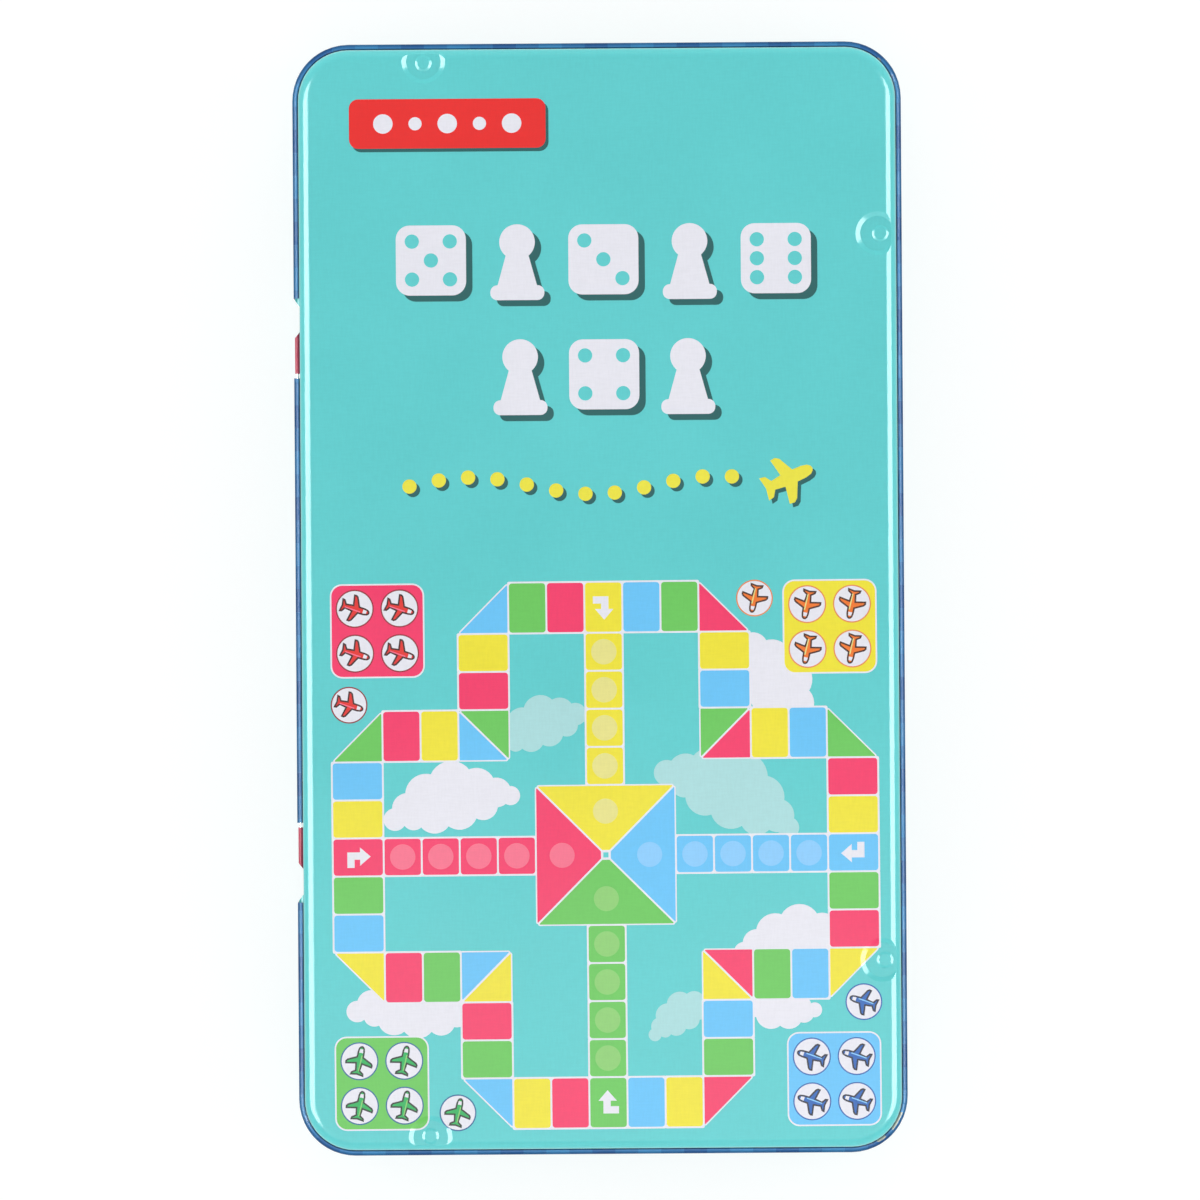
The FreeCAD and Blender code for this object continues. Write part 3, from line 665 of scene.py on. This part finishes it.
def draw_loose_discs(draw):
    """A disc beside each home."""
    angles = {colour: angle for colour, _, _, angle in HOMES}
    for colour, x, y in LOOSE_DISCS:
        draw_disc(draw, colour, x, y, angles[colour], DISC_RADIUS)


# A cloud of round lumps, each with its middle and radius
CLOUD_LUMPS = (
    (-1.32, -0.12, 0.26), (-0.98, 0.06, 0.36), (-0.5, 0.28, 0.48), (0.12, 0.4, 0.52), (0.66, 0.2, 0.44),
    (1.08, -0.02, 0.34), (1.38, -0.16, 0.22), (0.72, -0.24, 0.34), (0.16, -0.26, 0.42), (-0.42, -0.24, 0.4),
    (-0.9, -0.2, 0.26),
)
LUMP_SIDES = 30


def draw_cloud(draw, ink, x, y, size, angle):
    for lump_x, lump_y, radius in CLOUD_LUMPS:
        draw(moved(circle(lump_x, lump_y, radius, LUMP_SIDES), x, y, angle, size), ink)


# Films of ink

def goes_round(outline, x, y):
    """Whether a point lies in an outline."""
    inside = False
    for (ax, ay), (bx, by) in zip(outline, outline[1:] + outline[:1]):
        if (ay > y) != (by > y) and x < ax + (bx - ax) * (y - ay) / (by - ay):
            inside = not inside
    return inside


def ink_finder(shapes):
    """A function that gives the ink of the last shape that covers a point, or None."""
    layers = []
    for outline, ink in reversed(shapes):
        across, along = zip(*outline)
        layers.append((min(across), max(across), min(along), max(along), list(outline), ink))

    def ink_at(x, y):
        for left, right, bottom, top, outline, ink in layers:
            if left < x < right and bottom < y < top and goes_round(outline, x, y):
                return ink
        return None

    return ink_at


FILM_THICKNESS = 0.02
MERGED_BELOW = 1e-4


def make_film(name, shapes, height_at, body, guides=(), facing=1):
    """A thin closed film of ink. Where shapes lie over each other, the last one shows.

    The film lies on the surface whose height is given, or under it where it faces down.
    """
    points, edges = [], []
    for loop in [outline for outline, _ in shapes] + list(guides):
        count = len(loop)
        edges += [(len(points) + i, len(points) + (i + 1) % count) for i in range(count)]
        points += [Vector(point) for point in loop]
    found, _, triangles, *_ = delaunay_2d_cdt(points, edges, [], 0, MERGED_BELOW, False)

    ink_at = ink_finder(shapes)
    kept = []
    for triangle in triangles:
        middle = sum((found[corner] for corner in triangle), Vector((0, 0))) / 3
        ink = ink_at(*middle)
        if ink:
            kept.append((triangle, ink))
    used = sorted({corner for triangle, _ in kept for corner in triangle})
    number = {corner: index for index, corner in enumerate(used)}
    vertices = []
    for lift in (FILM_THICKNESS, 0.0):
        for corner in used:
            x, y = found[corner]
            vertices.append(Vector((x, y, height_at(x, y) + facing * lift)) * MM)
    slots = sorted({ink for _, ink in kept})
    under = len(used)
    polygons, materials, rim = [], [], {}
    for triangle, ink in kept:
        a, b, c = [number[corner] for corner in triangle]
        ring = (a, b, c) if facing > 0 else (c, b, a)
        polygons += [ring, tuple(corner + under for corner in ring[::-1])]
        materials += [slots.index(ink)] * 2
        for start, end in zip(ring, ring[1:] + ring[:1]):
            if (end, start) in rim:
                del rim[(end, start)]
            else:
                rim[(start, end)] = slots.index(ink)
    for (start, end), index in rim.items():
        polygons.append((end, start, start + under, end + under))
        materials.append(index)
    mesh = bpy.data.meshes.new(name)
    mesh.from_pydata(vertices, [], polygons)
    for ink in slots:
        mesh.materials.append(PRINTS[ink])
    mesh.polygons.foreach_set("material_index", materials)
    piece = bpy.data.objects.new(name, mesh)
    bpy.context.scene.collection.objects.link(piece)
    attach(piece, body)


# The cover

RAY_START = LID_TOP + 10
GUIDE_SIDES = 96
LID_MESH = frame["nodes"]["lid_shell"].data
LID_TREE = BVHTree.FromPolygons([vertex.co for vertex in LID_MESH.vertices],
                                [tuple(face.vertices) for face in LID_MESH.polygons])


def lid_height(x, y):
    hit = LID_TREE.ray_cast(Vector((x, y, RAY_START)) * MM, Vector((0, 0, -1)))[0]
    return hit.z / MM


def dent_guides():
    """Rings that lead the film over the dents and the nubs in them."""
    for radii, side_inset, end_inset in zip((DENT_RADII, NUB_RADII), SIDE_INSETS, END_INSETS):
        for radius in radii:
            for sign in (1, -1):
                yield circle(WALL_X - side_inset, sign * SIDE_DENT_Y, radius, GUIDE_SIDES)
                yield circle(END_DENT_X, sign * (WALL_Y - end_inset), radius, GUIDE_SIDES)


cover = []


def draw_on_cover(points, ink):
    cover.append((points, ink))


# The board's middle on the cover, and its turn in degrees
BOARD_X, BOARD_Y, BOARD_TURN = 0.72, -44.6, 0.2


def draw_on_cover_board(points, ink):
    draw_on_cover(moved(points, BOARD_X, BOARD_Y, BOARD_TURN), ink)


TITLE_SHADOW, LINE_SHADOW = (1.1, -1.05), (0.6, -0.6)


def draw_raised(shapes, ink, x, y, shadow=TITLE_SHADOW):
    """Shapes in one ink over their own dark shadow."""
    for points in shapes:
        draw_on_cover(moved(points, x + shadow[0], y + shadow[1]), "shadow")
    for points in shapes:
        draw_on_cover(moved(points, x, y), ink)


PAWN_SHAPE = (
    rounded(rectangle(0, -5.3, 9.4, 2.6), 1.2, 5),
    rounded([(-3.7, -5.0), (3.7, -5.0), (1.7, 2.2), (-1.7, 2.2)], 0.6, 4),
    circle(0, 3.5, 3.1, 40),
)
DIE_SHAPE = (rounded(rectangle(0, 0, 12.2, 12.2), 2.4, 8),)
PIP_OFFSET, PIP_RADIUS, PIP_SIDES = 3.3, 1.25, 24
PIP_PLACES = {
    3: ((-1, 1), (0, 0), (1, -1)),
    4: ((-1, -1), (-1, 1), (1, -1), (1, 1)),
    5: ((-1, -1), (-1, 1), (0, 0), (1, -1), (1, 1)),
    6: ((-1, -1), (-1, 0), (-1, 1), (1, -1), (1, 0), (1, 1)),
}
# The pips of each die, or 0 for a pawn, and its place
TOKENS = ((5, -29.0, 59.0), (0, -14.0, 58.6), (3, 1.0, 59.0), (0, 16.0, 58.6), (6, 31.0, 59.0),
          (0, -13.6, 38.6), (4, 1.0, 39.0), (0, 15.6, 38.6))
# A waving row of dots that ends in a plane
DOT_COUNT, DOT_RADIUS, DOT_SIDES = 12, 1.25, 24
DOTS_X, DOTS_Y, DOT_STEP, DOT_WAVE, DOT_TURN = -33.0, 19.7, 5.1, 1.5, 0.75
ROW_PLANE_X, ROW_PLANE_Y, ROW_PLANE_ANGLE, ROW_PLANE_SIZE = 32.8, 20.6, 24, 4.6
# A plain plaque with large and small dots
PLAQUE_X, PLAQUE_Y, PLAQUE_WIDTH, PLAQUE_HEIGHT = -26.0, 82.8, 34.2, 8.6
PLAQUE_CORNER, PLAQUE_STEPS, PLAQUE_SHADOW = 1.6, 6, (0.5, -0.6)
STUD_STEP, SMALL_STUD, LARGE_STUD, STUD_SIDES = 5.6, 1.15, 1.7, 28
# Each cloud's ink, place on the board, size and turn
COVER_CLOUDS = (
    ("pale_cloud", -11.0, 22.5, 5.8, 20),
    ("pale_cloud", 21.5, 10.5, 8.6, -24),
    ("pale_cloud", 13.0, -28.0, 4.4, 30),
    ("white", -27.0, 9.5, 7.6, 12),
    ("white", 29.4, 29.4, 7.4, -58),
    ("white", -34.0, -26.6, 7.2, -4),
    ("white", 33.0, -15.4, 7.0, 6),
    ("white", 29.5, -26.2, 5.0, 165),
)


def draw_die(pips, x, y):
    draw_raised(DIE_SHAPE, "white", x, y)
    for column, row in PIP_PLACES[pips]:
        pip = circle(x + PIP_OFFSET * column, y + PIP_OFFSET * row, PIP_RADIUS, PIP_SIDES)
        draw_on_cover(pip, "turquoise")


def draw_cover():
    for cloud in COVER_CLOUDS:
        draw_cloud(draw_on_cover_board, *cloud)
    draw_track(draw_on_cover_board)
    draw_homes(draw_on_cover_board)
    draw_loose_discs(draw_on_cover_board)

    for pips, x, y in TOKENS:
        if pips:
            draw_die(pips, x, y)
        else:
            draw_raised(PAWN_SHAPE, "white", x, y)

    dot = circle(0, 0, DOT_RADIUS, DOT_SIDES)
    for step in range(DOT_COUNT):
        height = DOTS_Y + DOT_WAVE * math.sin(step * DOT_TURN)
        draw_raised([dot], "bright_yellow", DOTS_X + DOT_STEP * step, height, LINE_SHADOW)
    plane = moved(PLANE, 0, 0, ROW_PLANE_ANGLE, ROW_PLANE_SIZE)
    draw_raised([plane], "bright_yellow", ROW_PLANE_X, ROW_PLANE_Y, LINE_SHADOW)

    plaque = rectangle(PLAQUE_X, PLAQUE_Y, PLAQUE_WIDTH, PLAQUE_HEIGHT)
    plaque = rounded(plaque, PLAQUE_CORNER, PLAQUE_STEPS)
    draw_on_cover(moved(plaque, *PLAQUE_SHADOW), "shadow")
    draw_on_cover(plaque, "bright_red")
    for step in range(-2, 3):
        radius = SMALL_STUD if step % 2 else LARGE_STUD
        draw_on_cover(circle(PLAQUE_X + STUD_STEP * step, PLAQUE_Y, radius, STUD_SIDES), "white")


draw_cover()
make_film("lid_print", cover, lid_height, "lid", list(dent_guides()))


# The boards inside

INNER_SIZE = 180.0 / BOARD_SIDE
PLATE_HIGH = box_mm("base_board")[1]
PLATE_BEND = 0.8
BORDER_INSET, BORDER_CORNER, BORDER_LINE, BORDER_STEPS = 1.5, 6.0, 0.8, 8
SMALLEST_AREA = 1e-3
INNER_CLOUDS = (
    ("pale_cloud", -12.5, 23.5, 5.8, 10),
    ("pale_cloud", 22.0, 10.5, 6.6, -24),
    ("pale_cloud", 12.5, -25.5, 5.2, 32),
    ("pale_cloud", -24.0, -12.5, 5.6, 8),
    ("white", -31.0, 30.0, 5.4, 50),
    ("white", 31.0, -30.0, 5.4, 40),
    ("white", 30.5, 29.5, 5.6, -54),
    ("white", -30.5, -29.5, 5.4, -46),
)


def inner_board(on_lid):
    """One half of the open board, which is drawn about the hinge and folds along it."""
    shapes = []
    plate_x, plate_y = PLATE_HIGH.x - PLATE_BEND, PLATE_HIGH.y - PLATE_BEND
    left = -plate_x - HINGE_X

    def draw(points, ink):
        wide = [(x * INNER_SIZE, y * INNER_SIZE) for x, y in points]
        if on_lid:
            wide = [(-x, y) for x, y in wide]
        part = kept_beyond(wide, left)
        if len(part) > 2 and abs(area(part)) > SMALLEST_AREA:
            shapes.append(([(x + HINGE_X, y) for x, y in part], ink))

    border = rectangle(0, 0, 2 * plate_x - 2 * BORDER_INSET, 2 * plate_y - 2 * BORDER_INSET)
    inside = grown(border, -BORDER_LINE)
    shapes.append((rounded(border, BORDER_CORNER, BORDER_STEPS), "white"))
    shapes.append((rounded(inside, BORDER_CORNER - BORDER_LINE, BORDER_STEPS), "turquoise"))
    for cloud in INNER_CLOUDS:
        draw_cloud(draw, *cloud)
    draw_track(draw, arrow_quarters=(1, 3))
    draw_homes(draw)
    return shapes


make_film("base_board_print", inner_board(False), lambda x, y: BASE_BOARD_FACE, "base")
make_film("lid_board_print", inner_board(True), lambda x, y: LID_BOARD_FACE, "lid",
          facing=-1)


# The pawns' faces

FACE_DEPTH, FACE_RADIUS, FACE_SIDES, FACE_PLANE = 0.3, 4.7, 48, 3.7


def make_pawn_face(pawn, colour, angle):
    """A white disc with a plane, in the hollow on top of a pawn. In the lid the pawn hangs upside down."""
    low, high = box_mm(pawn)
    middle = (low + high) / 2
    on_lid = middle.z > HINGE_Z
    height = low.z + FACE_DEPTH if on_lid else high.z - FACE_DEPTH
    shapes = [(circle(middle.x, middle.y, FACE_RADIUS, FACE_SIDES), "white")]

    def draw(points, ink):
        shapes.append((points, ink))

    draw_plane(draw, colour, middle.x, middle.y, 180 - angle if on_lid else angle, FACE_PLANE)
    make_film(f"{pawn}_face", shapes, lambda x, y: height, pawn,
              facing=-1 if on_lid else 1)


for colour, _, _, angle in HOMES:
    for index in range(1, 5):
        make_pawn_face(f"{colour}_pawn_{index}", colour, angle)


# The stage

AMBIENT = 0.58
FLOOR_HALF, FLOOR_GREY, FLOOR_ROUGHNESS, FLOOR_GLOW = 0.7, 0.3, 0.9, 0.75
# Lamps, with places and sizes in metres and powers in watts
SOFTBOX_REACH, SOFTBOX_HEIGHT, SOFTBOX_SIZE, SOFTBOX_POWER = 0.75, 0.22, (0.8, 0.3), 2.4
SIDE_GLOSS_X, SIDE_GLOSS_Y, SIDE_GLOSS_HEIGHT = 0.436, -0.03, 0.478
SIDE_GLOSS_SIZE, SIDE_GLOSS_POWER = (0.585, 0.6), 10.3
FRONT_GLOSS_PLACE, FRONT_GLOSS_SIZE, FRONT_GLOSS_POWER = (0.0, -0.27, 0.6), (0.9, 0.5), 2.0
# The camera, with lengths in metres, its sensor in millimetres and its turn in degrees
CAMERA_HEIGHT, CAMERA_Y, CAMERA_TURN = 7.0, -0.26 * MM, -0.4
VIEW_WIDTH, SENSOR_WIDTH, FARTHEST = 209.0 * MM, 36.0, 50.0


def visible_share(tree):
    """1 for a ray that shows the background to the camera, in a reflection or through glass."""
    path = add_node(tree, "LightPath").outputs
    seen = calculate(tree, "MAXIMUM", path["Is Camera Ray"], path["Is Glossy Ray"])
    return calculate(tree, "MAXIMUM", seen, path["Is Transmission Ray"])


def make_world():
    world = bpy.data.worlds.new("studio")
    bpy.context.scene.world = world
    world.use_nodes = True
    tree = world.node_tree
    background = tree.nodes["Background"]
    background.inputs["Color"].default_value = (1, 1, 1, 1)
    strength = calculate(tree, "MULTIPLY_ADD", visible_share(tree), 1 - AMBIENT, AMBIENT)
    connect(tree, strength, background.inputs["Strength"])


def make_floor():
    mesh = bpy.data.meshes.new("floor")
    corners = [(x, y, 0.0) for x, y in rectangle(0, 0, 2 * FLOOR_HALF, 2 * FLOOR_HALF)]
    mesh.from_pydata(corners, [], [(0, 1, 2, 3)])
    material, tree, shader = new_material("floor")
    shader.inputs["Base Color"].default_value = (FLOOR_GREY, FLOOR_GREY, FLOOR_GREY, 1)
    shader.inputs["Roughness"].default_value = FLOOR_ROUGHNESS
    shader.inputs["Specular IOR Level"].default_value = 0.0
    shader.inputs["Emission Color"].default_value = (1, 1, 1, 1)
    glow = calculate(tree, "MULTIPLY", visible_share(tree), FLOOR_GLOW)
    connect(tree, glow, shader.inputs["Emission Strength"])
    mesh.materials.append(material)
    floor = bpy.data.objects.new("floor", mesh)
    bpy.context.scene.collection.objects.link(floor)


def make_lamp(name, place, size, power, shape="RECTANGLE", lights=True, shines=True):
    """An area lamp that points at the tin. It lights surfaces, or shines back from gloss, or both."""
    lamp = bpy.data.lights.new(name, "AREA")
    lamp.shape = shape
    lamp.size, lamp.size_y = size
    lamp.energy = power
    holder = bpy.data.objects.new(name, lamp)
    bpy.context.scene.collection.objects.link(holder)
    holder.location = place
    holder.rotation_euler = (-Vector(place)).to_track_quat("-Z", "Y").to_euler()
    holder.visible_camera = False
    holder.visible_diffuse = lights
    holder.visible_glossy = shines


def make_lamps():
    """Low soft lamps all round, and three lamps that only shine back from gloss.

    The two at the sides make the bright lines along the edges, and the weak one in front a haze.
    """
    for name, x, y in (("left", -1, 0), ("right", 1, 0), ("front", 0, -1), ("back", 0, 1)):
        place = (SOFTBOX_REACH * x, SOFTBOX_REACH * y, SOFTBOX_HEIGHT)
        make_lamp(f"{name}_softbox", place, SOFTBOX_SIZE, SOFTBOX_POWER, shines=False)
    for name, side in (("left", -1), ("right", 1)):
        place = (side * SIDE_GLOSS_X, SIDE_GLOSS_Y, SIDE_GLOSS_HEIGHT)
        make_lamp(f"{name}_gloss", place, SIDE_GLOSS_SIZE, SIDE_GLOSS_POWER, "ELLIPSE", lights=False)
    make_lamp("front_gloss", FRONT_GLOSS_PLACE, FRONT_GLOSS_SIZE, FRONT_GLOSS_POWER, lights=False)


def make_camera():
    """Straight above the tin, far off, and turned a little as in the photograph."""
    data = bpy.data.cameras.new("camera")
    data.sensor_width = SENSOR_WIDTH
    data.lens = SENSOR_WIDTH * (CAMERA_HEIGHT - HINGE_Z * MM) / VIEW_WIDTH
    data.clip_end = FARTHEST
    camera = bpy.data.objects.new("camera", data)
    bpy.context.scene.collection.objects.link(camera)
    camera.location = (0.0, CAMERA_Y, CAMERA_HEIGHT)
    camera.rotation_euler = (0.0, 0.0, math.radians(CAMERA_TURN))
    bpy.context.scene.camera = camera


make_world()
make_floor()
make_lamps()
make_camera()
bpy.context.scene.view_settings.view_transform = "Standard"
